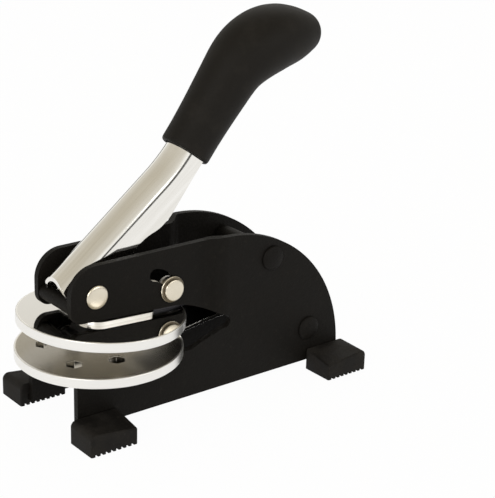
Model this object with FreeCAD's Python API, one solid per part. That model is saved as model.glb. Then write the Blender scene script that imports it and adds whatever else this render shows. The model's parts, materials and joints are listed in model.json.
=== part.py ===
import FreeCAD, Part
import math
import os
from FreeCAD import Vector

# Desk seal embosser.  Millimetres, +Z up, +X to the rear, the operator's right hand side at -Y.
# Everything is drawn with X measured from the centre of the lower die disc and Z from the floor.
# The finished pieces are moved along X, so that their origin is the middle of the footprint.

# ---------------------------------------------------------------- driving dimensions
# die discs and jaw
disc_radius = 30.0
disc_thickness = 3.65
seat_height = 22.07            # underside of the lower disc above the floor
jaw_gap = 5.93                 # paper gap between the discs with the jaw closed
jaw_opening_deg = 3.115        # how far the upper disc stands open at rest
upper_disc_x = 0.72            # centre of the upper disc with the jaw closed
disc_edge_break = 0.35
hex_across_corners = 6.4
hex_depth_upper = 2.4
hex_places = [(-16.5, 10.15), (-16.5, -10.15), (-2.4, 15.2), (-2.4, -15.2)]

# spring clip that carries the upper disc
clip_plate_thickness = 1.25
clip_plate_half_width = 12.5
clip_plate_front = 12.6        # ahead of the disc centre
clip_plate_rear = 15.2         # behind the disc centre
clip_corner_radius = 7.0       # front corners
clip_shoulder_radius = 3.2     # rear corners
leaf_thickness = 1.25
leaf_half_width = 9.3
leaf_front_x = 14.0            # front end of the lower leaf on the lower disc
leaf_lift_off = 3.0            # where the lower leaf leaves the disc, ahead of its edge
leaf_past_disc = 0.6           # how far the upper leaf runs level past the disc's edge
fold_behind_disc = 20.0        # fold's centre behind the discs' edge
fold_lead = 4.0                # level run of each leaf ahead of the fold
fold_radius = 1.5              # to the middle of the leaf
fold_rise = 3.13               # lower leaf's middle at the fold, above the lower disc's top
leaf_bend_radius = 12.0
leaf_gap = 0.3                 # between the fold's end and the moving leaf

# side plates
plate_thickness = 2.4
arm_half_width = 12.0          # outer face of the arms
body_half_width = 16.5         # outer face of the body
body_front_inset = 10.7        # body's front edge behind the disc's front
plate_bottom = 3.7
joggle_ahead = 11.2            # start of the joggle ahead of the fold
joggle_run = 3.8
joggle_bend_radius = 5.0       # to the middle of the plate
arm_front_reach = 10.3         # pivot to the arm's front edge
arm_top_rise = 11.4            # pivot to the arm's top edge
arm_nose_radius = 10.1
arm_chin_radius = 4.7
arm_under_clearance = 0.7      # arm's lower edge above the clip plate, jaw open
arm_bend = [(6.4, 0.0), (1.2, 0.9), (-3.0, 2.3)]   # ahead of the disc's edge, below the arm's edge
throat_ahead = 4.0             # deepest point of the throat ahead of the fold
throat_drop = 1.2              # and below the fold's centre
throat_mouth_low = (3.2, 2.2)  # start of the throat's round end, ahead and below
throat_mouth_high = (2.4, 2.6)
throat_floor_inset = 1.1       # where the throat's floor leaves the disc seat, inside the disc's edge
throat_floor_step = (3.0, 1.3)
shoulder_run = 1.3             # slope from the arm's top up to the crest, ahead of the joggle
crest_radius = 55.8
crest_centre_behind = 0.6      # crest's centre behind the joggle
crest_rise = 1.1               # crest above the arm's top edge

# pivot, cam and lever
pivot_x = -8.4
rivet_shank_radius = 2.5
pivot_head_radius = 4.3
pivot_head_height = 1.0
washer_radius = 3.7
cam_radius = 7.35
cam_eccentricity = 7.45
cam_closed_angle_deg = 45.0    # cam centre from straight down, lever pressed
lever_swing_deg = 30.0
lever_rest_deg = 38.3          # slope of the straight part of the lever at rest
cam_clearance = 0.15           # between the cam and the clip plate, lever pressed
lever_crown_radius = 7.0
lever_wall = 1.2
lever_line_rise = 3.4          # crown's centre line above the pivot
lever_front_reach = 9.9        # pivot to the lever's front cut
lever_toe_reach = 8.8
lever_front_cut = 3.2          # height of the slanted cut from the toe to the front edge
lever_lead_in = 14.0           # crown drawn ahead of the pivot, then trimmed by the side outline
lever_toe_drop = 0.45
lever_straight = 45.5          # from the pivot to the start of the upward bend
lever_bend_radius = 70.4
lever_bend_deg = 14.2
tang_length = 22.0
tang_depth = 4.2
flange_ear_radius = 5.2
flange_ear_start_deg = 184
flange_ear_end_deg = 284
flange_cheek = [(6.0, 13.2), (10.5, 14.0), (14.5, 11.4), (17.5, 7.6), (23.0, 5.6)]
flange_belly = [(28.5, 6.1), (34.0, 7.9), (39.5, 7.9)]   # along from the pivot, below the centre line
flange_bend = [(0.0, 6.4), (0.45, 4.7), (1.0, 4.2)]      # share of the bend, below the centre line
head_rim_share = 0.3           # straight rim's share of a rivet head's height
cam_rivet_radius = 1.5
cam_rivet_head_radius = 2.4
cam_rivet_head_height = 0.7
cam_rivet_offsets = [(-0.5, 3.2), (3.9, 1.2)]   # from the cam's centre
cam_side_clearance = 0.1
cam_hub_radius = 4.3

# grip
grip_mouth_radius = 9.4
grip_neck_radii = [(8.0, 9.5), (19.0, 10.0)]           # along from the bend's end, radius
grip_curve_radii = [(0.0, 10.7), (0.3, 11.9), (0.6, 12.5), (0.85, 12.35), (1.0, 11.7)]
grip_tail_radii = [(0.5, 10.5), (0.85, 9.4)]           # share of the stretch, radius
grip_end_radius = 8.0
grip_cap_share = 0.3           # the round end starts this share of its radius past its centre
grip_mouth_setback = 2.4       # mouth ahead of the bend's end
grip_mouth_round = 0.8
grip_straight = 30.2           # from the bend's end to the start of the grip's curve
grip_curve_radius = 28.6
grip_curve_deg = 51.0
grip_tail = 9.8                # from the end of the curve to the centre of the round end

# stop bar, spacers and frame rivets
stop_bar_radius = 2.75
stop_bar_inset = 2.9           # bar's centre behind the arm's front edge
stop_bar_clearance = 0.1
sleeve_radius = 4.0
sleeve_behind = 14.9           # behind the fold
sleeve_rise = 0.3              # above the pivot
lower_spacer_behind = 34.0     # behind the fold
lower_spacer_z = 17.0
frame_head_radius = 4.7
frame_head_height = 1.6
bolster_front_inset = 5.3      # behind the body's front edge
bolster_rear_inset = 0.9       # ahead of the throat's floor
bolster_height = 7.6

# rubber feet and the lugs that hold them
foot_length = 18.8
foot_width = 13.65
foot_overhang = 3.3            # rubber ahead of the plate's edge
foot_height = 8.6              # beside the plate
foot_toe_height = 8.5          # outer edge, front
foot_heel_height = 6.1         # outer edge, rear
foot_toe_radius = 2.3
foot_corner_radius = 0.7
foot_side_clearance = 0.2
foot_groove_count = 8
foot_groove_width = 0.9
foot_groove_depth = 0.8
lug_length = 12.0
lug_reach = 10.6               # beyond the plate's outer face
lug_bottom = 2.2
lug_thickness = 2.2
lug_clearance = 0.1

# lock pin and the curved slot in the right arm that it rides in
slot_reach_x = 22.9            # the slot's centre behind the pivot
slot_drop = 5.818              # and below it
slot_radius = 8.57             # to the middle of the slot
slot_half_width = 2.38
slot_low_deg = 12.0            # where the pin rests
slot_high_deg = 81.0
pin_radius = 2.3
pin_tip = 0.3                  # beyond the washer
pin_flange_radius = 4.9
pin_flange_thickness = 0.7
pin_face_radius = 4.0
pin_head_thickness = 1.9
pin_head_edge = 0.3
pin_face_gap = 0.1             # head and washer to the arm
pin_washer_radius = 4.0
pin_washer_thickness = 0.9

# fits
running_fit = 0.05             # radial, shafts that turn or slide
fixed_fit = 0.02               # radial, rivets and spacers that do not move
face_fit = 0.05                # flat faces beside a moving or loose piece
overcut = 1.0                  # how far a cutting tool runs past a face
tolerance = 0.01               # lengths nearer than this count as equal

# ---------------------------------------------------------------- shared places
fold_x = disc_radius + fold_behind_disc
joggle_start_x = fold_x - joggle_ahead
joggle_end_x = joggle_start_x + joggle_run
joggle_deg = math.degrees(math.atan2(body_half_width - arm_half_width, joggle_run))
joggle_blend = joggle_bend_radius * math.tan(math.radians(joggle_deg / 2))
throat_x = fold_x - throat_ahead
throat_floor_x = disc_radius - throat_floor_inset
crest_centre_x = joggle_end_x + crest_centre_behind
body_front_x = body_front_inset - disc_radius
sleeve_x = fold_x + sleeve_behind
lower_spacer_x = fold_x + lower_spacer_behind
arm_inner = arm_half_width - plate_thickness
body_inner = body_half_width - plate_thickness
lower_disc_top = seat_height + disc_thickness
upper_disc_bottom = lower_disc_top + jaw_gap
upper_disc_top = upper_disc_bottom + disc_thickness
clip_plate_top = upper_disc_top + clip_plate_thickness
hinge_z = lower_disc_top + fold_rise + fold_radius
cam_drop_closed = cam_eccentricity * math.cos(math.radians(cam_closed_angle_deg))
pivot_z = clip_plate_top + cam_clearance + cam_radius + cam_drop_closed
pivot = Vector(pivot_x, 0, pivot_z)
hinge = Vector(fold_x, 0, hinge_z)
arm_top = pivot_z + arm_top_rise
arm_front_x = pivot_x - arm_front_reach
crest_centre_z = arm_top + crest_rise - crest_radius
crest_rear_x = crest_centre_x + math.sqrt(crest_radius ** 2 - (plate_bottom - crest_centre_z) ** 2)
toe_z = pivot_z - lever_toe_drop
stop_bar_x = arm_front_x + stop_bar_inset
stop_bar_z = toe_z - stop_bar_clearance - stop_bar_radius
sleeve_z = pivot_z + sleeve_rise
slot_centre = Vector(pivot_x + slot_reach_x, 0, pivot_z - slot_drop)
pin_x = slot_centre.x + slot_radius * math.cos(math.radians(slot_low_deg))
pin_z = slot_centre.z + slot_radius * math.sin(math.radians(slot_low_deg))
footprint_front_x = -disc_radius
footprint_rear_x = crest_rear_x + foot_overhang
to_origin = Vector(-(footprint_front_x + footprint_rear_x) / 2, 0, 0)

Y_AXIS = Vector(0, 1, 0)


# ---------------------------------------------------------------- helpers
def xz(x, z, y=0.0):
    return Vector(x, y, z)


def line(start, end):
    return Part.LineSegment(start, end).toShape()


def arc(start, middle, end):
    return Part.Arc(start, middle, end).toShape()


def around(centre, radius, angle_deg):
    """Point on a circle in the XZ plane; 0 points to +X and 90 to +Z."""
    angle = math.radians(angle_deg)
    return centre + Vector(radius * math.cos(angle), 0, radius * math.sin(angle))


def arc_about(centre, radius, from_deg, to_deg):
    middle = around(centre, radius, (from_deg + to_deg) / 2)
    return arc(around(centre, radius, from_deg), middle, around(centre, radius, to_deg))


def polygon(points):
    return [line(a, b) for a, b in zip(points, points[1:] + points[:1])]


def extrude_y(edges, y_low, y_high):
    """Solid from a closed outline in the XZ plane."""
    face = Part.Face(Part.Wire(edges))
    solid = face.extrude(Vector(0, y_high - y_low, 0))
    solid.translate(Vector(0, y_low, 0))
    return solid


def rod(x, z, radius, y_low, y_high):
    return Part.makeCylinder(radius, y_high - y_low, Vector(x, y_low, z), Y_AXIS)


def box(x_low, x_high, y_low, y_high, z_low, z_high):
    corner = Vector(x_low, y_low, z_low)
    return Part.makeBox(x_high - x_low, y_high - y_low, z_high - z_low, corner)


def mirrored(shape):
    return shape.mirror(Vector(0, 0, 0), Y_AXIS)


def opened(shape):
    """Turn a piece from the closed jaw to the jaw's place at rest."""
    turned = shape.copy()
    turned.rotate(hinge, Y_AXIS, jaw_opening_deg)
    return turned


def opened_point(x, z):
    angle = math.radians(jaw_opening_deg)
    dx = x - fold_x
    dz = z - hinge_z
    return xz(fold_x + dx * math.cos(angle) + dz * math.sin(angle),
              hinge_z - dx * math.sin(angle) + dz * math.cos(angle))


def domed_head(x, z, radius, height, y_face, side):
    """Rivet head that stands on the plane y = y_face, outward along side."""
    crown = height * (1 - head_rim_share)
    ball_radius = (radius ** 2 + crown ** 2) / (2 * crown)
    blank = Part.makeCylinder(radius, height, Vector(x, y_face, z), Y_AXIS * side)
    ball = Part.makeSphere(ball_radius, Vector(x, y_face + side * (height - ball_radius), z))
    return blank.common(ball)


def through_rivet(x, z, half_width, head_radius, head_height):
    shank = rod(x, z, rivet_shank_radius - fixed_fit, -half_width, half_width)
    right = domed_head(x, z, head_radius, head_height, -half_width, -1)
    left = domed_head(x, z, head_radius, head_height, half_width, 1)
    return shank.fuse([right, left]).removeSplitter()


def hexagon_prism(x, y, z_low, z_high):
    radius = hex_across_corners / 2
    corners = []
    for step in range(6):
        angle = math.radians(30 + 60 * step)
        corners.append(Vector(x + radius * math.cos(angle), y + radius * math.sin(angle), z_low))
    face = Part.Face(Part.Wire(polygon(corners)))
    return face.extrude(Vector(0, 0, z_high - z_low))


def write(name, shapes):
    """One STEP file per node; a list of shapes is a group of separate solids."""
    shape = Part.makeCompound(shapes) if isinstance(shapes, list) else shapes.copy()
    shape.translate(to_origin)
    shape.exportStep("parts/" + name + ".step")
    print(name, "solids", len(shape.Solids), "valid", shape.isValid(), "volume", round(shape.Volume, 1))


# ---------------------------------------------------------------- side plates
def arm_under_edge(x):
    """Point on the arm's straight lower edge, parallel to the open clip plate."""
    return opened_point(x, clip_plate_top + arm_under_clearance)


def plate_outline():
    """The C-shaped side: lower body, throat, arm and round back, clockwise from the front foot."""
    front_low = xz(body_front_x, plate_bottom)
    front_high = xz(body_front_x, seat_height)
    floor_start = xz(throat_floor_x, seat_height)
    floor_bend = floor_start + xz(*throat_floor_step)
    apex = xz(throat_x, hinge_z - throat_drop)
    throat_low = apex - xz(*throat_mouth_low)
    throat_high = apex + xz(-throat_mouth_high[0], throat_mouth_high[1])
    under_rear_z = arm_under_edge(disc_radius - arm_bend[0][0]).z
    under = [xz(disc_radius - ahead, under_rear_z - below) for ahead, below in arm_bend]
    chin_x = arm_front_x + arm_chin_radius
    chin_centre = xz(chin_x, arm_under_edge(chin_x).z + arm_chin_radius)
    nose_centre = xz(arm_front_x + arm_nose_radius, arm_top - arm_nose_radius)
    crest_centre = xz(crest_centre_x, crest_centre_z)
    crest_start_deg = math.degrees(math.acos((joggle_end_x - crest_centre_x) / crest_radius))
    crest_end_deg = math.degrees(math.asin((plate_bottom - crest_centre_z) / crest_radius))
    crest_start = around(crest_centre, crest_radius, crest_start_deg)
    crest_end = around(crest_centre, crest_radius, crest_end_deg)
    shoulder = xz(joggle_start_x - shoulder_run, arm_top)
    return [
        line(front_low, front_high),
        line(front_high, floor_start),
        line(floor_start, floor_bend),
        line(floor_bend, throat_low),
        arc(throat_low, apex, throat_high),
        line(throat_high, under[2]),
        arc(under[2], under[1], under[0]),
        line(under[0], around(chin_centre, arm_chin_radius, 270)),
        arc_about(chin_centre, arm_chin_radius, 270, 180),
        line(around(chin_centre, arm_chin_radius, 180), around(nose_centre, arm_nose_radius, 180)),
        arc_about(nose_centre, arm_nose_radius, 180, 90),
        line(around(nose_centre, arm_nose_radius, 90), shoulder),
        line(shoulder, crest_start),
        arc_about(crest_centre, crest_radius, crest_start_deg, crest_end_deg),
        line(crest_end, front_low),
    ]


def plan_direction(angle_deg):
    angle = math.radians(angle_deg)
    return Vector(math.cos(angle), math.sin(angle), 0)


def joggle_ribbon():
    """Plan view of the arm: the plate steps in from the body's width to the arm's."""
    z_split = hinge_z - throat_drop
    half = plate_thickness / 2
    first_bend = joggle_start_x - joggle_blend
    last_bend = joggle_end_x + joggle_blend
    first_centre = Vector(first_bend, arm_half_width - half + joggle_bend_radius, z_split)
    last_centre = Vector(last_bend, body_half_width - half - joggle_bend_radius, z_split)

    def side(offset):
        """One face of the plate, offset from its middle towards the outside."""
        front = Vector(arm_front_x - overcut, arm_half_width - half + offset, z_split)
        rear = Vector(last_bend + overcut, body_half_width - half + offset, z_split)
        turns = [first_centre + plan_direction(angle) * (joggle_bend_radius - offset)
                 for angle in (-90, joggle_deg / 2 - 90, joggle_deg - 90)]
        returns = [last_centre + plan_direction(angle) * (joggle_bend_radius + offset)
                   for angle in (joggle_deg + 90, joggle_deg / 2 + 90, 90)]
        edges = [line(front, turns[0]), arc(*turns), line(turns[2], returns[0]), arc(*returns),
                 line(returns[2], rear)]
        return front, rear, edges

    outer_front, outer_rear, outer = side(half)
    inner_front, inner_rear, inner = side(-half)
    edges = outer + inner + [line(outer_front, inner_front), line(outer_rear, inner_rear)]
    face = Part.Face(Part.Wire(Part.__sortEdges__(edges)))
    return face.extrude(Vector(0, 0, arm_top + crest_rise + overcut - z_split))


def foot_lug(front_x):
    """Lug bent outward from the plate's lower edge to carry a foot."""
    reach = body_half_width + lug_reach
    flat = box(front_x, front_x + lug_length, body_inner, reach, lug_bottom,
               lug_bottom + lug_thickness)
    root = box(front_x, front_x + lug_length, body_inner, body_half_width, lug_bottom,
               plate_bottom + overcut)
    return flat.fuse(root)


def side_plate_left():
    blank = extrude_y(plate_outline(), 0, body_half_width + overcut)
    z_split = hinge_z - throat_drop
    arm_zone = box(arm_front_x - overcut, joggle_end_x + joggle_blend, -overcut,
                   body_half_width + 2 * overcut, z_split, arm_top + crest_rise + 2 * overcut)
    body_slab = box(body_front_x - overcut, crest_rear_x + overcut, body_inner, body_half_width,
                    plate_bottom - overcut, arm_top + 2 * crest_rise)
    body = blank.common(body_slab).cut(arm_zone)
    arm = blank.common(joggle_ribbon())
    plate = body.fuse([arm, foot_lug(body_front_x), foot_lug(crest_rear_x - lug_length)])
    hole_radius = rivet_shank_radius
    holes = [rod(x, z, hole_radius, 0, body_half_width + overcut)
             for x, z in ((pivot_x, pivot_z), (sleeve_x, sleeve_z), (lower_spacer_x, lower_spacer_z))]
    return plate.cut(holes).removeSplitter()


def pin_slot():
    """Curved slot with round ends, as a cutting tool through the right arm."""
    outer = slot_radius + slot_half_width
    inner = slot_radius - slot_half_width
    low, high = slot_low_deg, slot_high_deg
    edges = [arc_about(slot_centre, outer, low, high),
             line(around(slot_centre, outer, high), around(slot_centre, inner, high)),
             arc_about(slot_centre, inner, high, low),
             line(around(slot_centre, inner, low), around(slot_centre, outer, low))]
    sector = extrude_y(edges, -body_half_width, 0)
    ends = [around(slot_centre, slot_radius, angle) for angle in (low, high)]
    return sector.fuse([rod(end.x, end.z, slot_half_width, -body_half_width, 0) for end in ends])


def side_plate_right():
    return mirrored(side_plate_left()).cut(pin_slot()).removeSplitter()


# ---------------------------------------------------------------- what joins the plates
def bolster_block():
    half = body_inner - face_fit
    return box(body_front_x + bolster_front_inset, throat_floor_x - bolster_rear_inset,
               -half, half, seat_height - bolster_height, seat_height)


def front_stop_bar():
    half = arm_inner - face_fit
    return rod(stop_bar_x, stop_bar_z, stop_bar_radius, -half, half)


def spacer(x, z):
    half = body_inner - face_fit
    tube = rod(x, z, sleeve_radius, -half, half)
    return tube.cut(rod(x, z, rivet_shank_radius, -body_half_width, body_half_width))


def frame_rivets():
    places = ((sleeve_x, sleeve_z), (lower_spacer_x, lower_spacer_z))
    return [through_rivet(x, z, body_half_width, frame_head_radius, frame_head_height)
            for x, z in places]


def pivot_rivet():
    return through_rivet(pivot_x, pivot_z, arm_half_width, pivot_head_radius, pivot_head_height)


def pivot_washers():
    bore = rivet_shank_radius + fixed_fit
    washer = rod(pivot_x, pivot_z, washer_radius, lever_crown_radius + face_fit,
                 arm_inner - face_fit)
    washer = washer.cut(rod(pivot_x, pivot_z, bore, 0, arm_half_width))
    return [washer, mirrored(washer)]


# ---------------------------------------------------------------- feet
def foot_block():
    """A left foot with its front at x = 0 and its inboard face at y = 0."""
    length = foot_length
    width = foot_width
    inboard = [Vector(0, 0, 0), Vector(length, 0, 0), Vector(length, 0, foot_height),
               Vector(0, 0, foot_height)]
    outboard = [Vector(0, width, 0), Vector(length, width, 0), Vector(length, width, foot_heel_height),
                Vector(0, width, foot_toe_height)]
    sections = [Part.makePolygon(corners + corners[:1]) for corners in (inboard, outboard)]
    block = Part.makeLoft(sections, True, True)
    toe = [edge for edge in block.Edges
           if edge.BoundBox.XMax < tolerance and edge.BoundBox.ZMin > foot_heel_height]
    block = block.makeFillet(foot_toe_radius, toe)
    rims = [edge for edge in block.Edges
            if edge.BoundBox.ZMax > tolerance
            and (edge.BoundBox.YLength < tolerance or edge.BoundBox.XMin > length - tolerance)]
    block = block.makeFillet(foot_corner_radius, rims)
    pitch = length / (foot_groove_count + 1)
    grooves = []
    for step in range(foot_groove_count):
        centre = pitch * (step + 1)
        grooves.append(box(centre - foot_groove_width / 2, centre + foot_groove_width / 2,
                           -overcut, width + overcut, -overcut, foot_groove_depth))
    return block.cut(grooves)


def foot_front_left():
    foot = foot_block()
    inboard = body_half_width + foot_side_clearance
    foot.translate(Vector(body_front_x - foot_overhang, inboard, 0))
    pocket = box(body_front_x - lug_clearance, body_front_x + lug_length + lug_clearance,
                 body_half_width - overcut, body_half_width + lug_reach + lug_clearance,
                 lug_bottom - lug_clearance, lug_bottom + lug_thickness + lug_clearance)
    return foot.cut(pocket)


def foot_rear_left():
    middle_x = (body_front_x + crest_rear_x) / 2
    return foot_front_left().mirror(Vector(middle_x, 0, 0), Vector(1, 0, 0))


# ---------------------------------------------------------------- discs
def disc(centre_x, z_low, hex_low, hex_high):
    plate = Part.makeCylinder(disc_radius, disc_thickness, Vector(centre_x, 0, z_low))
    plate = plate.makeFillet(disc_edge_break, [plate.Edges[0], plate.Edges[2]])
    holes = [hexagon_prism(centre_x + x, y, hex_low, hex_high) for x, y in hex_places]
    return plate.cut(holes)


def lower_disc():
    return disc(0, seat_height, seat_height - overcut, lower_disc_top + overcut)


def upper_disc():
    low = upper_disc_bottom
    return opened(disc(upper_disc_x, low, low - overcut, low + hex_depth_upper))


# ---------------------------------------------------------------- spring clip
def swept_strip(path, start, half_width, thickness):
    """Strip of even thickness along a path in the XZ plane that starts along +X."""
    half = thickness / 2
    corners = [start + Vector(0, y, z) for y, z in
               ((-half_width, -half), (half_width, -half), (half_width, half), (-half_width, half))]
    section = Part.Wire(polygon(corners))
    return Part.Wire(path).makePipeShell([section], True, True)


def ramp(start, end, radius):
    """Two arcs and a straight run between two level stretches; returns edges."""
    run = end.x - start.x
    rise = end.z - start.z
    sign = 1 if rise > 0 else -1
    height = abs(rise)
    reach = math.hypot(run, 2 * radius - height)
    angle = math.degrees(math.asin(2 * radius / reach) - math.atan2(2 * radius - height, run))
    first_centre = start + Vector(0, 0, sign * radius)
    last_centre = end - Vector(0, 0, sign * radius)
    base = -90 * sign
    turn = angle * sign
    first = arc_about(first_centre, radius, base, base + turn)
    last = arc_about(last_centre, radius, base + 180 + turn, base + 180)
    joint = line(around(first_centre, radius, base + turn),
                 around(last_centre, radius, base + 180 + turn))
    return [first, joint, last]


def clip_lower_leaf():
    level = lower_disc_top + leaf_thickness / 2
    start = xz(leaf_front_x, level)
    ramp_start = xz(disc_radius - leaf_lift_off, level)
    ramp_end = xz(fold_x - fold_lead, lower_disc_top + fold_rise)
    fold_low = xz(fold_x, ramp_end.z)
    path = [line(start, ramp_start)]
    path += ramp(ramp_start, ramp_end, leaf_bend_radius)
    path += [line(ramp_end, fold_low), arc_about(hinge, fold_radius, -90, 90)]
    return swept_strip(path, start, leaf_half_width, leaf_thickness)


def clip_upper_leaf():
    level = upper_disc_top + leaf_thickness / 2
    plate_rear = upper_disc_x + clip_plate_rear
    start = xz(plate_rear - overcut, level)
    ramp_start = xz(upper_disc_x + disc_radius + leaf_past_disc, level)
    fold_end = xz(fold_x - leaf_gap, hinge_z + fold_radius)
    ramp_end = xz(fold_x - fold_lead, fold_end.z)
    path = [line(start, ramp_start)]
    path += ramp(ramp_start, ramp_end, leaf_bend_radius)
    path += [line(ramp_end, fold_end)]
    strip = swept_strip(path, start, leaf_half_width, leaf_thickness)
    plate = box(upper_disc_x - clip_plate_front, plate_rear, -clip_plate_half_width,
                clip_plate_half_width, upper_disc_top, clip_plate_top)
    corners = [edge for edge in plate.Edges if abs(edge.tangentAt(edge.FirstParameter).z) > 0.9]
    front = [edge for edge in corners if edge.BoundBox.XMax < upper_disc_x]
    plate = plate.makeFillet(clip_corner_radius, front)
    corners = [edge for edge in plate.Edges if abs(edge.tangentAt(edge.FirstParameter).z) > 0.9]
    rear = [edge for edge in corners if edge.BoundBox.XMin > plate_rear - tolerance]
    plate = plate.makeFillet(clip_shoulder_radius, rear)
    return opened(plate.fuse(strip).removeSplitter())


# ---------------------------------------------------------------- lever
def lever_direction(extra_deg=0.0):
    angle = math.radians(lever_rest_deg + extra_deg)
    return Vector(math.cos(angle), 0, math.sin(angle))


def lever_normal(extra_deg=0.0):
    angle = math.radians(lever_rest_deg + extra_deg)
    return Vector(-math.sin(angle), 0, math.cos(angle))


def lever_point(along, below):
    """Place measured along the straight centre line from the pivot, and below that line."""
    return pivot + lever_direction() * along + lever_normal() * (lever_line_rise - below)


bend_start = lever_point(lever_straight, 0)
bend_centre = bend_start + lever_normal() * lever_bend_radius
bend_end = bend_centre - lever_normal(lever_bend_deg) * lever_bend_radius


def below_bend(share, below):
    """Place below the bend's centre line, share of the way round it."""
    return bend_centre - lever_normal(lever_bend_deg * share) * (lever_bend_radius + below)


def lever_path(start):
    middle = bend_centre - lever_normal(lever_bend_deg / 2) * lever_bend_radius
    tang_end = bend_end + lever_direction(lever_bend_deg) * tang_length
    return Part.Wire([line(start, bend_start), arc(bend_start, middle, bend_end),
                      line(bend_end, tang_end)])


def channel_section(start, outer, inner, depth):
    """Inverted U across the lever: half-round crown with two straight flanges."""
    def place(y, up):
        return start + Vector(0, y, 0) + lever_normal() * up
    edges = [
        line(place(-outer, -depth), place(-outer, 0)),
        arc(place(-outer, 0), place(0, outer), place(outer, 0)),
        line(place(outer, 0), place(outer, -depth)),
    ]
    if inner <= 0:
        edges.append(line(place(outer, -depth), place(-outer, -depth)))
        return Part.Wire(edges)
    edges += [
        line(place(outer, -depth), place(inner, -depth)),
        line(place(inner, -depth), place(inner, 0)),
        arc(place(inner, 0), place(0, inner), place(-inner, 0)),
        line(place(-inner, 0), place(-inner, -depth)),
        line(place(-inner, -depth), place(-outer, -depth)),
    ]
    return Part.Wire(edges)


def lever_side():
    """Side outline that trims the channel: front cut, toe, ear, cam cheek and belly."""
    toe = xz(pivot_x - lever_toe_reach, toe_z)
    front_low = xz(pivot_x - lever_front_reach, toe_z + lever_front_cut)
    ear_start = around(pivot, flange_ear_radius, flange_ear_start_deg)
    ear_end = around(pivot, flange_ear_radius, flange_ear_end_deg)
    lower_edge = [lever_point(along, below) for along, below in flange_cheek + flange_belly]
    lower_edge += [below_bend(share, below) for share, below in flange_bend]
    curve = Part.BSplineCurve()
    curve.interpolate([ear_end] + lower_edge)
    tang_low = lower_edge[-1] + lever_direction(lever_bend_deg) * tang_length
    top = arm_top + lever_straight + tang_length
    rear_x = tang_low.x + tang_length
    return [
        line(xz(front_low.x, top), front_low),
        line(front_low, toe),
        line(toe, ear_start),
        arc_about(pivot, flange_ear_radius, flange_ear_start_deg, flange_ear_end_deg),
        curve.toShape(),
        line(lower_edge[-1], tang_low),
        line(tang_low, xz(rear_x, top)),
        line(xz(rear_x, top), xz(front_low.x, top)),
    ]


def lever_envelope(outer, inner, depth):
    start = lever_point(-lever_lead_in, 0)
    section = channel_section(start, outer, inner, depth)
    return lever_path(start).makePipeShell([section], True, True)


cam_rest_deg = cam_closed_angle_deg + lever_swing_deg - 90
cam_centre = around(pivot, cam_eccentricity, cam_rest_deg)
cam_rivet_places = [cam_centre + xz(*offset) for offset in cam_rivet_offsets]


def lever_channel():
    depth = 2.4 * lever_crown_radius
    channel = lever_envelope(lever_crown_radius, lever_crown_radius - lever_wall, depth)
    side = extrude_y(lever_side(), -2 * lever_crown_radius, 2 * lever_crown_radius)
    channel = channel.common(side)
    holes = [rod(pivot_x, pivot_z, rivet_shank_radius + running_fit,
                 -arm_half_width, arm_half_width)]
    for place in cam_rivet_places:
        holes.append(rod(place.x, place.z, cam_rivet_radius, -arm_half_width, arm_half_width))
    return channel.cut(holes)


def cam_block():
    half = lever_crown_radius - lever_wall - cam_side_clearance
    lobe = rod(cam_centre.x, cam_centre.z, cam_radius, -half, half)
    hub = rod(pivot_x, pivot_z, cam_hub_radius, -half, half)
    span = cam_centre - pivot
    across = Vector(-span.z, 0, span.x).normalize() * cam_hub_radius
    web = extrude_y(polygon([pivot + across, cam_centre + across, cam_centre - across,
                             pivot - across]), -half, half)
    block = lobe.fuse([hub, web]).removeSplitter()
    holes = [rod(pivot_x, pivot_z, rivet_shank_radius + running_fit, -arm_half_width,
                 arm_half_width)]
    for place in cam_rivet_places:
        holes.append(rod(place.x, place.z, cam_rivet_radius, -arm_half_width, arm_half_width))
    return block.cut(holes)


def cam_rivets():
    rivets = []
    half = lever_crown_radius
    for place in cam_rivet_places:
        shank = rod(place.x, place.z, cam_rivet_radius - fixed_fit, -half, half)
        heads = [domed_head(place.x, place.z, cam_rivet_head_radius, cam_rivet_head_height,
                            side * half, side) for side in (-1, 1)]
        rivets.append(shank.fuse(heads).removeSplitter())
    return rivets


# ---------------------------------------------------------------- grip
grip_heading = lever_direction(lever_bend_deg)
grip_curve_start = bend_end + grip_heading * grip_straight
grip_curve_centre = grip_curve_start - lever_normal(lever_bend_deg) * grip_curve_radius
grip_end_turn = lever_bend_deg - grip_curve_deg
grip_curve_end = grip_curve_centre + lever_normal(grip_end_turn) * grip_curve_radius
grip_end_centre = grip_curve_end + lever_direction(grip_end_turn) * grip_tail


def grip_stations():
    """Places, slopes and radii of the round sections along the grip, mouth first."""
    mouth = -grip_mouth_setback
    straight = [(mouth, grip_mouth_radius - grip_mouth_round),
                (mouth + grip_mouth_round * 0.4, grip_mouth_radius - grip_mouth_round * 0.3),
                (mouth + grip_mouth_round * 1.4, grip_mouth_radius)] + grip_neck_radii
    stations = [(bend_end + grip_heading * along, lever_bend_deg, radius)
                for along, radius in straight]
    for share, radius in grip_curve_radii:
        turn = lever_bend_deg - grip_curve_deg * share
        place = grip_curve_centre + lever_normal(turn) * grip_curve_radius
        stations.append((place, turn, radius))
    end_heading = lever_direction(grip_end_turn)
    for share, radius in grip_tail_radii:
        stations.append((grip_curve_end + end_heading * (grip_tail * share), grip_end_turn, radius))
    cap_start = grip_end_centre + end_heading * (grip_end_radius * grip_cap_share)
    stations.append((cap_start, grip_end_turn, grip_end_radius * math.sqrt(1 - grip_cap_share ** 2)))
    return stations


def grip_placement(place, turn):
    """Placement square to the grip's centre line, X always towards the same side."""
    forward = lever_direction(turn)
    return FreeCAD.Placement(place, FreeCAD.Rotation(Y_AXIS, forward.cross(Y_AXIS), forward, "ZXY"))


def ring(place, turn, radius):
    wire = Part.Wire([Part.Circle(Vector(0, 0, 0), Vector(0, 0, 1), radius).toShape()])
    wire.Placement = grip_placement(place, turn)
    return wire


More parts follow.
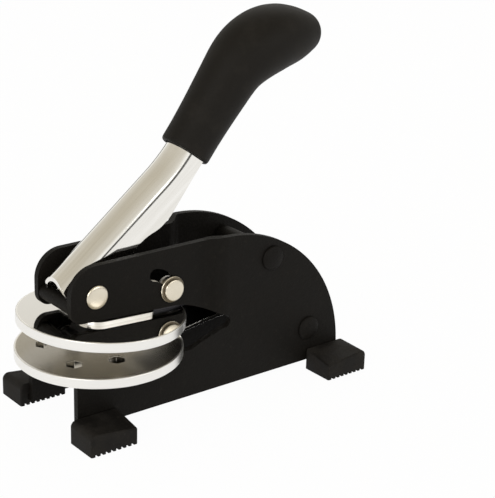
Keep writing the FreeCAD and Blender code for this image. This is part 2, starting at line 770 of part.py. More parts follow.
def grip_cap():
    """The part of a ball beyond the last ring; its flat side is that ring's disc."""
    start_deg = math.degrees(math.asin(grip_cap_share))
    cap = Part.makeSphere(grip_end_radius, Vector(0, 0, 0), Vector(0, 0, 1), start_deg, 90, 360)
    cap.Placement = grip_placement(grip_end_centre, grip_end_turn)
    return cap


def grip():
    body = Part.makeLoft([ring(*station) for station in grip_stations()], True, False)
    body = body.fuse(grip_cap())
    tang = lever_envelope(lever_crown_radius + face_fit, 0, tang_depth + face_fit)
    return body.cut(tang)


# ---------------------------------------------------------------- lock pin
pin_head_inner_y = -(arm_half_width + pin_face_gap)
pin_washer_y = -(arm_inner - pin_face_gap)


def lock_pin_washer():
    """Ring pressed on the pin inside the arm."""
    ring = rod(pin_x, pin_z, pin_washer_radius, pin_washer_y, pin_washer_y + pin_washer_thickness)
    return ring.cut(rod(pin_x, pin_z, pin_radius + fixed_fit, -arm_half_width, 0))


def lock_pin_shaft():
    return rod(pin_x, pin_z, pin_radius, pin_head_inner_y,
               pin_washer_y + pin_washer_thickness + pin_tip)


def lock_pin_head():
    outer_y = pin_head_inner_y - pin_head_thickness
    flange = rod(pin_x, pin_z, pin_flange_radius, pin_head_inner_y - pin_flange_thickness,
                 pin_head_inner_y)
    button = rod(pin_x, pin_z, pin_face_radius, outer_y, pin_head_inner_y)
    rim = [edge for edge in button.Edges
           if abs(edge.BoundBox.YMax - outer_y) < fixed_fit and edge.BoundBox.XLength > pin_radius]
    return flange.fuse(button.makeFillet(pin_head_edge, rim)).removeSplitter()


# ---------------------------------------------------------------- write every node
def main():
    os.makedirs("parts", exist_ok=True)
    write("side_plate_left", side_plate_left())
    write("side_plate_right", side_plate_right())
    write("bolster_block", bolster_block())
    write("front_stop_bar", front_stop_bar())
    write("stop_sleeve", spacer(sleeve_x, sleeve_z))
    write("rear_spacer", spacer(lower_spacer_x, lower_spacer_z))
    write("frame_rivets", frame_rivets())
    write("pivot_rivet", pivot_rivet())
    write("pivot_washers", pivot_washers())
    write("foot_front_left", foot_front_left())
    write("foot_front_right", mirrored(foot_front_left()))
    write("foot_rear_left", foot_rear_left())
    write("foot_rear_right", mirrored(foot_rear_left()))
    write("lock_pin_washer", lock_pin_washer())
    write("lower_disc", lower_disc())
    write("clip_lower_leaf", clip_lower_leaf())
    write("upper_disc", upper_disc())
    write("clip_upper_leaf", clip_upper_leaf())
    write("lever_channel", lever_channel())
    write("cam_block", cam_block())
    write("cam_rivets", cam_rivets())
    write("grip", grip())
    write("lock_pin_shaft", lock_pin_shaft())
    write("lock_pin_head", lock_pin_head())
    print("lever pivot", pivot + to_origin, "jaw hinge", hinge + to_origin)
    print("lower die seat", xz(0, lower_disc_top) + to_origin)
    print("upper die seat", opened_point(upper_disc_x, upper_disc_bottom) + to_origin)
    print("shift", to_origin)


main()
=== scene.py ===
import json
import math

import bmesh
import bpy
from mathutils import Matrix, Quaternion, Vector


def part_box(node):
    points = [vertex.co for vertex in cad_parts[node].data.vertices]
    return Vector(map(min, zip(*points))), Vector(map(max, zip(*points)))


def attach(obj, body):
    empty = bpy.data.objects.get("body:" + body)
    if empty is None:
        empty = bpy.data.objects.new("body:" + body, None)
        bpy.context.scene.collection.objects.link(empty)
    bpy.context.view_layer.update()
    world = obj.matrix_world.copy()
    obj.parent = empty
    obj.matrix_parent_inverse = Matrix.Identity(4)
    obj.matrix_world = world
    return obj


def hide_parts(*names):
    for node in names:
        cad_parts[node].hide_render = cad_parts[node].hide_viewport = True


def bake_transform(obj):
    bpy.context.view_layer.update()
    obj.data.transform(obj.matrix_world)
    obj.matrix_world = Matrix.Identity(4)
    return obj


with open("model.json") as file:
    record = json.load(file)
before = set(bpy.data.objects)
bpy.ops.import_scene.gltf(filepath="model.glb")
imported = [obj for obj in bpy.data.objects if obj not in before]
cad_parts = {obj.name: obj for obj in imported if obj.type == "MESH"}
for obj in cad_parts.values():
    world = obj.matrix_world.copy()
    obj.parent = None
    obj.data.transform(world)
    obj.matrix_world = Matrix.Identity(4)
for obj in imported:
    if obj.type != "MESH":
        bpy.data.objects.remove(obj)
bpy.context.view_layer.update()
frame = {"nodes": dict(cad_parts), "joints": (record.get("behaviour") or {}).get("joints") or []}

# ------------------------------------------------------------------ side plates
# Two C-shaped plates pressed from 2.4 mm steel, joggled outward behind the arms.
# Their edges are tumbled round, and they are coated all over in black baked crinkle enamel.
mm = 0.001


class Shade:
    """One output socket of a material; arithmetic on it adds nodes."""

    def __init__(self, tree, socket):
        self.tree = tree
        self.socket = socket

    def node(self, kind, settings=None, values=None, out=0):
        made = self.tree.nodes.new("ShaderNode" + kind)
        for name, setting in (settings or {}).items():
            if name == "stops":
                ramp = made.color_ramp
                while len(ramp.elements) < len(setting):
                    ramp.elements.new(1.0)
                for element, (place, level) in zip(ramp.elements, setting):
                    element.position = place
                    element.color = (level, level, level, 1.0)
            else:
                setattr(made, name, setting)
        for name, value in (values or {}).items():
            target = made.inputs[name]
            if isinstance(value, Shade):
                self.tree.links.new(value.socket, target)
            else:
                target.default_value = value
        return Shade(self.tree, made.outputs[out])

    def combine(self, operation, first, second):
        kinds = [part.socket.type for part in (first, second) if isinstance(part, Shade)]
        if "RGBA" in kinds:
            return self.mix(1.0, first, second, operation)
        if "VECTOR" in kinds:
            return self.node("VectorMath", {"operation": operation}, {0: first, 1: second})
        return self.node("Math", {"operation": operation}, {0: first, 1: second})

    def mix(self, share, first, second, blend="MIX"):
        """Colour mix; share is how much of second shows."""
        values = {0: share, 6: first, 7: second}
        return self.node("Mix", {"data_type": "RGBA", "blend_type": blend}, values, out=2)

    def ramp(self, *stops):
        """The level along a row of (place, level) stops."""
        grey = self.node("ValToRGB", {"stops": stops}, {0: self})
        return grey.node("RGBToBW", None, {0: grey})

    def ramp_between(self, low, high):
        """0 below low and 1 above high."""
        values = {"Value": self, "From Min": low, "From Max": high, "To Min": 0.0, "To Max": 1.0}
        return self.node("MapRange", None, values)

    def power(self, exponent):
        return self.node("Math", {"operation": "POWER"}, {0: self, 1: exponent})

    def at_least(self, limit):
        return self.node("Math", {"operation": "MAXIMUM"}, {0: self, 1: limit})

    def __add__(self, other):
        return self.combine("ADD", self, other)

    def __radd__(self, other):
        return self.combine("ADD", other, self)

    def __sub__(self, other):
        return self.combine("SUBTRACT", self, other)

    def __rsub__(self, other):
        return self.combine("SUBTRACT", other, self)

    def __mul__(self, other):
        return self.combine("MULTIPLY", self, other)

    def __rmul__(self, other):
        return self.combine("MULTIPLY", other, self)

    def __truediv__(self, other):
        return self.combine("DIVIDE", self, other)

    def __rtruediv__(self, other):
        return self.combine("DIVIDE", other, self)


class Finish:
    """A material with one Principled shader, its constants set on the sockets."""

    def __init__(self, name, **constants):
        self.material = bpy.data.materials.new(name)
        self.material.use_nodes = True
        self.tree = self.material.node_tree
        self.shader = self.tree.nodes["Principled BSDF"]
        for socket, value in constants.items():
            self.shader.inputs[socket.replace("_", " ")].default_value = value
        self.start = Shade(self.tree, None)
        self.place = self.start.node("TexCoord", out=3)

    def axes(self, place=None):
        """The X, Y and Z of a place, the surface's own unless another is given."""
        parts = self.tree.nodes.new("ShaderNodeSeparateXYZ")
        self.tree.links.new((place or self.place).socket, parts.inputs[0])
        return [Shade(self.tree, parts.outputs[axis]) for axis in range(3)]

    def noise(self, scale, detail=2.0, place=None, roughness=0.5):
        values = {"Vector": place or self.place, "Scale": scale, "Detail": detail,
                  "Roughness": roughness}
        return self.start.node("TexNoise", None, values)

    def cells(self, scale):
        values = {"Vector": self.place, "Scale": scale}
        return self.start.node("TexVoronoi", {"feature": "F1"}, values)

    def drive(self, socket, value):
        self.tree.links.new(value.socket, self.shader.inputs[socket])

    def bump(self, *layers):
        """Each layer is a height from 0 to 1 and its depth in metres."""
        normal = None
        for height, depth in layers:
            values = {"Height": height, "Distance": depth, "Strength": 1.0}
            if normal is not None:
                values["Normal"] = normal
            normal = self.start.node("Bump", None, values)
        self.drive("Normal", normal)


def within(value, low, high, soft):
    """1 between low and high, falling to 0 over soft on either side."""
    return value.ramp_between(low - soft, low) * (1.0 - value.ramp_between(high, high + soft))


def slot_wall(finish):
    """The slot's wall nearest to the pin's centre of swing, 0.2 mm short of the arm's faces."""
    swing = next(joint for joint in frame["joints"] if joint["name"] == "lock_pin_swing")
    x, y, z = finish.axes()
    x = x - swing["pos_m"][0]
    z = z - swing["pos_m"][2]
    radius = (x * x + z * z).power(0.5)
    wall_radius = 6.19 * mm
    reach = 0.14 * mm
    in_wall = within(radius, wall_radius - reach, wall_radius + reach, 0.05 * mm)
    short_of_outer, short_of_inner = -11.8 * mm, -9.8 * mm
    between_faces = within(y, short_of_outer, short_of_inner, 0.1 * mm)
    above_swing = within(z, 0.8 * mm, 12.0 * mm, 0.3 * mm)
    return in_wall * between_faces * above_swing


def crinkle_enamel():
    finish = Finish("black_crinkle_enamel", Specular_IOR_Level=0.10)
    wrinkles = finish.noise(1500.0, 3.0, roughness=0.6)
    folds = finish.cells(1150.0)
    blotches = finish.noise(90.0, 2.0)
    dust = finish.noise(420.0, 4.0, roughness=0.7).ramp((0.56, 0.0), (0.80, 1.0))
    base = finish.start.mix(blotches, (0.0042, 0.0036, 0.0030, 1), (0.0072, 0.0062, 0.0050, 1))
    painted = finish.start.mix(dust * 0.3, base, (0.026, 0.023, 0.018, 1))
    # A bright metal strip on the slot's wall: paint rubbed off by the pin, and partly a painted
    # highlight where the wall faces the light.
    bare_and_painted_highlight = slot_wall(finish) * blotches.ramp((0.30, 0.35), (0.55, 1.0))
    finish.drive("Base Color", finish.start.mix(bare_and_painted_highlight, painted, (0.72, 0.69, 0.62, 1)))
    finish.drive("Metallic", bare_and_painted_highlight)
    finish.drive("Roughness", 0.40 + wrinkles * 0.18 + blotches * 0.1)
    finish.bump((folds * 0.5 + wrinkles, 0.00010))
    return finish.material


enamel = crinkle_enamel()


def smooth(mesh, crease_deg=32):
    mesh.shade_smooth()
    mesh.set_sharp_from_angle(angle=math.radians(crease_deg))


def new_piece(name):
    """An empty mesh object in the scene, at the origin."""
    piece = bpy.data.objects.new(name, bpy.data.meshes.new(name))
    bpy.context.scene.collection.objects.link(piece)
    return piece


def round_edges(piece, width, segments=3, crease_deg=32):
    rounding = piece.modifiers.new("edges", "BEVEL")
    rounding.width = width
    rounding.segments = segments
    rounding.limit_method = "ANGLE"
    rounding.angle_limit = math.radians(crease_deg)
    rounding.harden_normals = True


def soft_copy(node, edge, material, body, segments=3, crease_deg=32):
    """The CAD piece with its triangles joined, its flats made whole and its edges rounded."""
    piece = new_piece(node + "_finished")
    shape = bmesh.new()
    shape.from_mesh(frame["nodes"][node].data)
    bmesh.ops.remove_doubles(shape, verts=shape.verts, dist=0.002 * mm)
    bmesh.ops.dissolve_limit(shape, angle_limit=math.radians(0.4), verts=shape.verts,
                             edges=shape.edges)
    shape.to_mesh(piece.data)
    shape.free()
    round_edges(piece, edge, segments, crease_deg)
    smooth(piece.data, crease_deg)
    piece.data.materials.append(material)
    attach(piece, body)
    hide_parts(node)
    return piece


plate_edge = 0.45 * mm
for node in ("side_plate_left", "side_plate_right"):
    plate = soft_copy(node, plate_edge, enamel, "frame")

# ------------------------------------------------------------------ cross pieces
# A steel bolster carries the lower disc, and two tube spacers and a round bar tie the plates.
# They are welded or riveted in place before painting, so the same enamel covers them.
tie_edge = 0.3 * mm
for node in ("bolster_block", "front_stop_bar", "stop_sleeve", "rear_spacer"):
    soft_copy(node, tie_edge, enamel, "frame", segments=2)


# ------------------------------------------------------------------ frame rivets
# Two 5 mm steel rivets through the plates and the spacers, their heads hammered to a low dome.
# They are set before painting, so the enamel covers them too.
def settle(shape, piece):
    """Turns the faces outwards and puts the shape into the piece's mesh."""
    bmesh.ops.recalc_face_normals(shape, faces=shape.faces)
    shape.to_mesh(piece.data)
    shape.free()


def spun_about_y(name, centre, side, outline, material, body, steps=72):
    """A round piece about a line along Y: outline holds (radius, outward) pairs in millimetres."""
    piece = new_piece(name)
    shape = bmesh.new()
    verts = [shape.verts.new(centre + Vector((r * mm, side * out * mm, 0))) for r, out in outline]
    edges = [shape.edges.new(pair) for pair in zip(verts, verts[1:])]
    bmesh.ops.spin(shape, geom=verts + edges, cent=centre, axis=(0, 1, 0), angle=math.tau,
                   steps=steps, use_merge=True)
    bmesh.ops.remove_doubles(shape, verts=shape.verts, dist=0.001 * mm)
    settle(shape, piece)
    smooth(piece.data, 40)
    piece.data.materials.append(material)
    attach(piece, body)
    return piece


def middle(node):
    low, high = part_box(node)
    return (low + high) / 2


def dome(radius, height):
    """Outline of a domed rivet head with a rolled rim, from the middle out to its seat."""
    rim = 0.32 * height
    outline = [(0.0, height)]
    for step in range(1, 9):
        angle = math.radians(11.25 * step)
        out = radius * 0.985 * math.sin(angle) ** 0.9
        outline.append((out, rim + (height - rim) * math.cos(angle)))
    return outline + [(radius, rim * 0.75), (radius, rim * 0.3), (radius - 0.12, 0.0), (0.0, 0.0)]


frame_head_radius = 4.7
frame_head_height = 1.6
frame_head = dome(frame_head_radius, frame_head_height)
plate_face_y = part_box("frame_rivets")[1].y - frame_head_height * mm
for spacer in ("stop_sleeve", "rear_spacer"):
    for side in (-1, 1):
        seat = middle(spacer)
        seat.y = side * plate_face_y
        name = f"{spacer}_rivet_head_{'right' if side < 0 else 'left'}"
        spun_about_y(name, seat, side, frame_head, enamel, "frame")
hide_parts("frame_rivets")


# ------------------------------------------------------------------ feet
# Four moulded rubber feet pushed on lugs at the bottom corners of the plates.
# Their soles are ribbed across, and handling has left a light bloom in patches over them.
def foot_rubber_finish():
    finish = Finish("foot_rubber", Specular_IOR_Level=0.14)
    grain = finish.noise(1900.0, 3.0, roughness=0.65)
    bloom = finish.noise(130.0, 4.0, roughness=0.62).ramp((0.42, 0.0), (0.72, 1.0))
    specks = finish.noise(1250.0, 2.0).ramp((0.66, 0.0), (0.74, 1.0))
    base = finish.start.mix(bloom, (0.0075, 0.0066, 0.0058, 1), (0.0180, 0.0160, 0.0140, 1))
    finish.drive("Base Color", finish.start.mix(specks * 0.35, base, (0.060, 0.054, 0.047, 1)))
    finish.drive("Roughness", 0.62 + bloom * 0.2)
    finish.bump((grain, 0.00007))
    return finish.material


foot_rubber = foot_rubber_finish()
foot_edge = 0.2 * mm
for node in ("foot_front_left", "foot_front_right", "foot_rear_left", "foot_rear_right"):
    foot = soft_copy(node, foot_edge, foot_rubber, "frame", segments=2, crease_deg=40)


# ------------------------------------------------------------------ die discs
# Two 60 mm discs, turned from 3.65 mm steel and pierced with hexagon sockets for the die posts.
# The rims are turned bright; the lower face is satin, darkened by painted shade; the upper is
# polished.
def turned_steel(name, centre, tilt, face_roughness, colour, groove_depth):
    finish = Finish(name, Metallic=1.0)
    turned = finish.start.node("Mapping", {"vector_type": "TEXTURE"}, {
        "Vector": finish.place, "Location": centre, "Rotation": (0, tilt, 0)})
    x, y, z = finish.axes(turned)
    radius = finish.start.node("Math", {"operation": "SQRT"}, {0: x * x + y * y})
    angle = finish.start.node("Math", {"operation": "ARCTAN2"}, {0: y, 1: x})
    around = finish.start.node("CombineXYZ", None,
                               {0: radius * 1000.0, 1: z * 1000.0, 2: angle * 0.35})
    fine = finish.noise(5.0, 3.0, around, roughness=0.7)
    coarse = finish.noise(1.1, 2.0, around)
    smears = finish.noise(60.0, 3.0)
    on_rim = radius.ramp_between(disc_radius - 0.9 * mm, disc_radius - 0.5 * mm)
    dark, light = colour
    face_colour_and_painted_shade = finish.start.mix(coarse * 0.5 + fine * 0.5, dark, light)
    rim_colour = finish.start.mix(fine, (0.84, 0.83, 0.80, 1), (0.96, 0.95, 0.93, 1))
    finish.drive("Base Color", finish.start.mix(on_rim, face_colour_and_painted_shade, rim_colour))
    face = face_roughness + fine * face_roughness * 0.5 + smears * face_roughness * 0.35
    rim = 0.24 + fine * 0.12
    finish.drive("Roughness", face * (1.0 - on_rim) + rim * on_rim)
    finish.bump((fine, groove_depth))
    return finish.material


disc_radius = 30.0 * mm
disc_thickness = 3.65 * mm
jaw_joint = next(joint for joint in frame["joints"] if joint["name"] == "jaw_close")
hinge = Vector(jaw_joint["pos_m"])
jaw_tilt = math.radians(3.115)
jaw_turn = Matrix.Rotation(jaw_tilt, 4, "Y")
jaw_open = Matrix.Translation(hinge) @ jaw_turn @ Matrix.Translation(-hinge)
lower_seat = middle("lower_disc")
lower_seat.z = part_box("lower_disc")[0].z
upper_shift = 0.72 * mm
disc_gap = 5.93 * mm
upper_seat = lower_seat + Vector((upper_shift, 0, disc_thickness + disc_gap))
cut_past = 1 * mm
blind_depth = 2.4 * mm
hex_radius = 3.2 * mm
hex_places = [(-16.5, 10.15), (-16.5, -10.15), (-2.4, 15.2), (-2.4, -15.2)]


def only(kind, parts):
    return [part for part in parts if isinstance(part, kind)]


def prism(shape, segments, radius, place, height):
    """A closed prism raised from a flat ring."""
    ring = bmesh.ops.create_circle(shape, cap_ends=True, segments=segments, radius=radius,
                                   matrix=place)
    raised = bmesh.ops.extrude_face_region(shape, geom=[ring["verts"][0].link_faces[0]])
    top = only(bmesh.types.BMVert, raised["geom"])
    bmesh.ops.translate(shape, verts=top, vec=(0, 0, height))


def hex_tool(seat, low, high):
    """Hexagon prisms that pierce a disc at its four sockets, one corner along Y."""
    tool = new_piece("hex_tool")
    shape = bmesh.new()
    for x, y in hex_places:
        place = Matrix.Translation(seat + Vector((x * mm, y * mm, low)))
        turned = place @ Matrix.Rotation(math.radians(30), 4, "Z")
        prism(shape, 6, hex_radius, turned, high - low)
    settle(shape, tool)
    return tool


def carve(piece, tool, operation="DIFFERENCE"):
    """Boolean with a tool that is thrown away, applied at once."""
    cut = piece.modifiers.new("cut", "BOOLEAN")
    cut.operation = operation
    cut.solver = "EXACT"
    cut.object = tool
    bpy.context.view_layer.update()
    seen = piece.evaluated_get(bpy.context.evaluated_depsgraph_get())
    carved = bpy.data.meshes.new_from_object(seen)
    piece.modifiers.clear()
    piece.data = carved
    bpy.data.objects.remove(tool)


def turned_disc(name, seat, socket_low, socket_high, material):
    piece = new_piece(name)
    shape = bmesh.new()
    prism(shape, 180, disc_radius, Matrix.Translation(seat), disc_thickness)
    settle(shape, piece)
    carve(piece, hex_tool(seat, socket_low, socket_high))
    piece.data.materials.clear()
    piece.data.materials.append(material)
    round_edges(piece, 0.3 * mm)
    smooth(piece.data)
    return piece


# The lower face's colours are darker than the steel: painted shade from the upper disc close above
# it.
satin_steel_painted_shade = turned_steel("satin_turned_steel_painted_shade", lower_seat, 0.0, 0.16,
                           ((0.34, 0.315, 0.26, 1), (0.48, 0.45, 0.39, 1)), 0.0000030)
lower_disc = turned_disc("lower_disc_turned", lower_seat, -cut_past, disc_thickness + cut_past,
                         satin_steel_painted_shade)
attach(lower_disc, "frame")
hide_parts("lower_disc")

mirror_steel = turned_steel("mirror_polished_steel", jaw_open @ upper_seat, jaw_tilt, 0.035,
                            ((0.80, 0.79, 0.77, 1), (0.86, 0.85, 0.83, 1)), 0.0000006)
upper_disc = turned_disc("upper_disc_turned", upper_seat, -cut_past, blind_depth, mirror_steel)
upper_disc.data.transform(jaw_open)
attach(upper_disc, "jaw")
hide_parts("upper_disc")


# ------------------------------------------------------------------ spring clip
# One strip of sprung steel, folded back on itself behind the discs: its wide front plate lies
# on the upper disc under the cam.  The plate is polished, and the strap behind it is coloured dark.
def clip_finish(bright_end, bright_edge):
    """Polished ahead of bright_end, dark behind it; the lower leaf's edges stay bright."""
    finish = Finish("polished_and_dark_rear_clip")
    smears = finish.noise(75.0, 4.0, roughness=0.65)
    pits = finish.noise(900.0, 2.0)
    grain = finish.noise(1500.0, 2.0)
    along, across, height = finish.axes()
    side = finish.start.node("Math", {"operation": "ABSOLUTE"}, {0: across})
    lower_leaf = 1.0 - height.ramp_between(hinge.z - 1.0 * mm, hinge.z + 1.0 * mm)
    edge = side.ramp_between(bright_edge - 0.15 * mm, bright_edge) * lower_leaf
    # Behind bright_end the strip is coloured dark.
    dark_rear = along.ramp_between(bright_end, bright_end + 1.2 * mm) * (1.0 - edge)
    past_side = (side - (plate_half - front_corner) * mm).at_least(0.0)
    past_front = (upper_seat.x - (plate_front - front_corner) * mm - along).at_least(0.0)
    past_corner = (past_side * past_side + past_front * past_front).power(0.5)
    ground = past_corner.ramp_between((front_corner - 0.4) * mm, (front_corner - 0.25) * mm)
    bright = finish.start.mix(smears, (0.84, 0.825, 0.79, 1), (0.92, 0.91, 0.88, 1))
    dark = finish.start.mix(smears, (0.020, 0.020, 0.024, 1), (0.040, 0.039, 0.042, 1))
    finish.drive("Base Color", finish.start.mix(dark_rear, bright, dark))
    polished = 0.06 + smears.ramp((0.45, 0.0), (0.8, 1.0)) * 0.08
    finish.drive("Roughness", polished + dark_rear * 0.25 + ground * (0.26 + grain * 0.12))
    finish.drive("Metallic", 1.0 - ground * (1.0 - dark_rear) * 0.55)
    finish.bump((pits, 0.0000012), (finish.noise(45.0, 1.0), 0.000012))
    return finish.material


# The strip's thickness, half widths and corner radii, and where its level stretches, ramps and
# plate lie behind a disc's centre.  Bare numbers are millimetres.
leaf = 1.25
leaf_half = 9.3
plate_half = 12.5
front_corner = 7.0
shoulder_corner = 3.2
plate_front = 12.6
plate_rear = 15.2
lower_level_places = (14.0, 20.0, 26.0)
lower_ramp_start = 27.0
lower_ramp_run = 19.0
upper_ramp_end = 30.6
leaf_bend = 12.0 * mm
fold_radius = 1.5 * mm


def drawn_through(name, segments, sections, material):
    """A bar or tube drawn through its sections; each is the matrix of a unit ring in its place."""
    piece = new_piece(name)
    shape = bmesh.new()
    bmesh.ops.create_circle(shape, cap_ends=True, segments=segments, radius=1.0, matrix=sections[0])
    edges = shape.edges[:]
    for last, here in zip(sections, sections[1:]):
        grown = bmesh.ops.extrude_edge_only(shape, edges=edges)
        verts = only(bmesh.types.BMVert, grown["geom"])
        fresh = set(verts)
        edges = [edge for edge in only(bmesh.types.BMEdge, grown["geom"])
                 if all(end in fresh for end in edge.verts)]
        bmesh.ops.transform(shape, verts=verts, matrix=here @ last.inverted())
    bmesh.ops.contextual_create(shape, geom=edges)
    settle(shape, piece)
    piece.data.materials.append(material)
    return piece


def leaf_ramp(start, run, rise):
    """Stations down or up between two level stretches: two bends and the straight between them."""
    height = abs(rise)
    reach = math.hypot(run, 2 * leaf_bend - height)
    turn = math.asin(2 * leaf_bend / reach) - math.atan2(2 * leaf_bend - height, abs(run))
    ahead, up = math.copysign(1, run), math.copysign(1, rise)
    slope_sign = ahead * up
    stations = []
    for step in range(7):
        angle = turn * step / 6
        off = Vector((ahead * math.sin(angle), 0, up * (1 - math.cos(angle)))) * leaf_bend
        stations.append((start + off, slope_sign * angle))
    end = start + Vector((run, 0, rise))
    for step in range(6, -1, -1):
        angle = turn * step / 6
        off = Vector((ahead * math.sin(angle), 0, up * (1 - math.cos(angle)))) * leaf_bend
        stations.append((end - off, slope_sign * angle))
    return stations


def clip_stations():
    """Place, slope and half width along the strip, from its lower end round to the front plate."""
    disc_x = lower_seat.x
    lower_level = lower_seat.z + disc_thickness + leaf / 2 * mm
    upper_level = upper_seat.z + disc_thickness + leaf / 2 * mm
    start = Vector((disc_x + lower_ramp_start * mm, 0, lower_level))
    stations = [(Vector((disc_x + x * mm, 0, lower_level)), 0.0, leaf_half)
                for x in lower_level_places]
    ramp = leaf_ramp(start, lower_ramp_run * mm, hinge.z - fold_radius - lower_level)
    stations += [(place, slope, leaf_half) for place, slope in ramp]
    for step in range(13):
        angle = math.radians(15 * step)
        place = hinge + fold_radius * Vector((math.sin(angle), 0, -math.cos(angle)))
        stations.append((place, angle, leaf_half))
    opened = []
    ramp_start = Vector((disc_x + (lower_ramp_start + lower_ramp_run) * mm, 0,
                         hinge.z + fold_radius))
    run = upper_seat.x + upper_ramp_end * mm - ramp_start.x
    for place, slope in leaf_ramp(ramp_start, run, upper_level - ramp_start.z):
        opened.append((place, math.pi + slope, leaf_half))
    rear = upper_seat.x + plate_rear * mm
    shoulder = rear - shoulder_corner * mm
    narrow = math.acos((leaf_half - plate_half + shoulder_corner) / shoulder_corner)
    # This place lies ahead of the next one, so the strip laps itself over 0.6 mm there.
    opened.append((Vector((rear - 0.6 * mm, 0, upper_level)), math.pi, leaf_half))
    for step in range(9):
        angle = narrow * (1 - step / 8)
        half = plate_half - shoulder_corner * (1 - math.cos(angle))
        place = Vector((shoulder + shoulder_corner * mm * math.sin(angle), 0, upper_level))
        opened.append((place, math.pi, half))
    front = upper_seat.x - plate_front * mm
    for step in range(13):
        angle = math.radians(7.5 * step)
        half = plate_half - front_corner * (1 - math.cos(angle))
        place = Vector((front + front_corner * mm * (1 - math.sin(angle)), 0, upper_level))
        opened.append((place, math.pi, half))
    stations += [(jaw_open @ place, slope - jaw_tilt, half) for place, slope, half in opened]
    return stations


def flat_section(place, slope, half):
    along = Vector((math.cos(slope), 0, math.sin(slope)))
    across = Vector((-math.sin(slope), 0, math.cos(slope)))
    turned = Matrix((Vector((0, 1, 0)), across, -along)).transposed().to_4x4()
    sized = Matrix.Diagonal((half * mm * math.sqrt(2), leaf / 2 * mm * math.sqrt(2), 1, 1))
    return Matrix.Translation(place) @ turned @ sized @ Matrix.Rotation(math.radians(45), 4, "Z")


polish_end = 15.0
clip_steel = clip_finish(upper_seat.x + polish_end * mm, (leaf_half - 0.4) * mm)
clip_sections = [flat_section(*station) for station in clip_stations()]
clip = drawn_through("spring_clip", 4, clip_sections, clip_steel)
round_edges(clip, 0.22 * mm, crease_deg=50)
smooth(clip.data, 30)
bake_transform(clip)
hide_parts("clip_lower_leaf", "clip_upper_leaf")


# ------------------------------------------------------------------ cam
# A hardened block between the lever's flanges, its round lobe set off from the pivot.
# It is blacked and oiled, and two rivets hold it; plain washers keep it in the middle.
def blacked_steel():
    finish = Finish("blacked_cam_steel", Metallic=0.6)
    wear = finish.noise(260.0, 4.0, roughness=0.7)
    black = finish.start.mix(wear, (0.018, 0.018, 0.020, 1), (0.050, 0.048, 0.046, 1))
    finish.drive("Base Color", black)
    finish.drive("Roughness", 0.32 + wear * 0.2)
    finish.bump((wear, 0.00001))
    return finish.material


def plain_steel_finish():
    finish = Finish("plain_washer_steel", Metallic=1.0)
    grain = finish.noise(1200.0, 3.0)
    steel = finish.start.mix(grain, (0.42, 0.41, 0.40, 1), (0.56, 0.55, 0.53, 1))
    finish.drive("Base Color", steel)
    finish.drive("Roughness", 0.30 + grain * 0.16)
    finish.bump((grain, 0.000004))
    return finish.material


cam_edge = 0.25 * mm
soft_copy("cam_block", cam_edge, blacked_steel(), "lever", segments=2)
washer_steel = plain_steel_finish()
for node in ("cam_rivets", "pivot_washers"):
    frame["nodes"][node].data.materials[0] = washer_steel

# ------------------------------------------------------------------ lever
# A channel pressed from 1.2 mm steel sheet: half-round crown, two straight flanges that deepen
# to a belly and, at the front, to ears for the pivot.  It is polished and chrome plated.
lever_joint = next(joint for joint in frame["joints"] if joint["name"] == "lever_press")
pivot = Vector(lever_joint["pos_m"])
rest_slope = math.radians(38.3)
line_rise = 3.4 * mm
crown_radius = 7.0
sheet = 1.2
flange = 17.0
lever_front = 14.0
straight = 45.5
bend_radius = 70.4 * mm
bend_turn = math.radians(14.2)
tang = 22.0 * mm
ear_radius = 5.2 * mm


def heading(extra=0.0):
    return Vector((math.cos(rest_slope + extra), 0, math.sin(rest_slope + extra)))


def upward(extra=0.0):
    return Vector((-math.sin(rest_slope + extra), 0, math.cos(rest_slope + extra)))


def on_lever(along, below):
    """A place by its distance from the pivot along the lever and below the crown's centre line."""
    return pivot + heading() * (along * mm) + upward() * (line_rise - below * mm)


bend_start = on_lever(straight, 0)
bend_centre = bend_start + upward() * bend_radius
bend_end = bend_centre - upward(bend_turn) * bend_radius


def on_bend(share, below):
    return bend_centre - upward(bend_turn * share) * (bend_radius + below * mm)


def crown_section(shape, start):
    """Half circle over two flanges, as one open line of edges."""
    first = shape.verts.new(start + Vector((0, crown_radius * mm, 0)))
    spun = bmesh.ops.spin(shape, geom=[first], cent=start, axis=heading(), angle=math.pi, steps=40)
    last = spun["geom_last"][0]
    for end in (first, last):
        grown = bmesh.ops.extrude_vert_indiv(shape, verts=[end])
        bmesh.ops.translate(shape, verts=grown["verts"], vec=-upward() * flange * mm)


def lever_sheet():
    piece = new_piece("lever_pressing")
    shape = bmesh.new()
    crown_section(shape, on_lever(-lever_front, 0))
    edges = list(shape.edges)
    strides = 8
    stride = heading() * ((lever_front + straight) * mm / strides)
    for step in range(strides):
        grown = bmesh.ops.extrude_edge_only(shape, edges=edges)
        edges = only(bmesh.types.BMEdge, grown["geom"])
        bmesh.ops.translate(shape, verts=only(bmesh.types.BMVert, grown["geom"]), vec=stride)
    spun = bmesh.ops.spin(shape, geom=edges, cent=bend_centre, axis=(0, 1, 0), angle=-bend_turn,
                          steps=14)
    edges = only(bmesh.types.BMEdge, spun["geom_last"])
    grown = bmesh.ops.extrude_edge_only(shape, edges=edges)
    fresh = only(bmesh.types.BMVert, grown["geom"])
    bmesh.ops.translate(shape, verts=fresh, vec=heading(bend_turn) * tang)
    bmesh.ops.remove_doubles(shape, verts=shape.verts, dist=0.001 * mm)
    settle(shape, piece)
    return piece


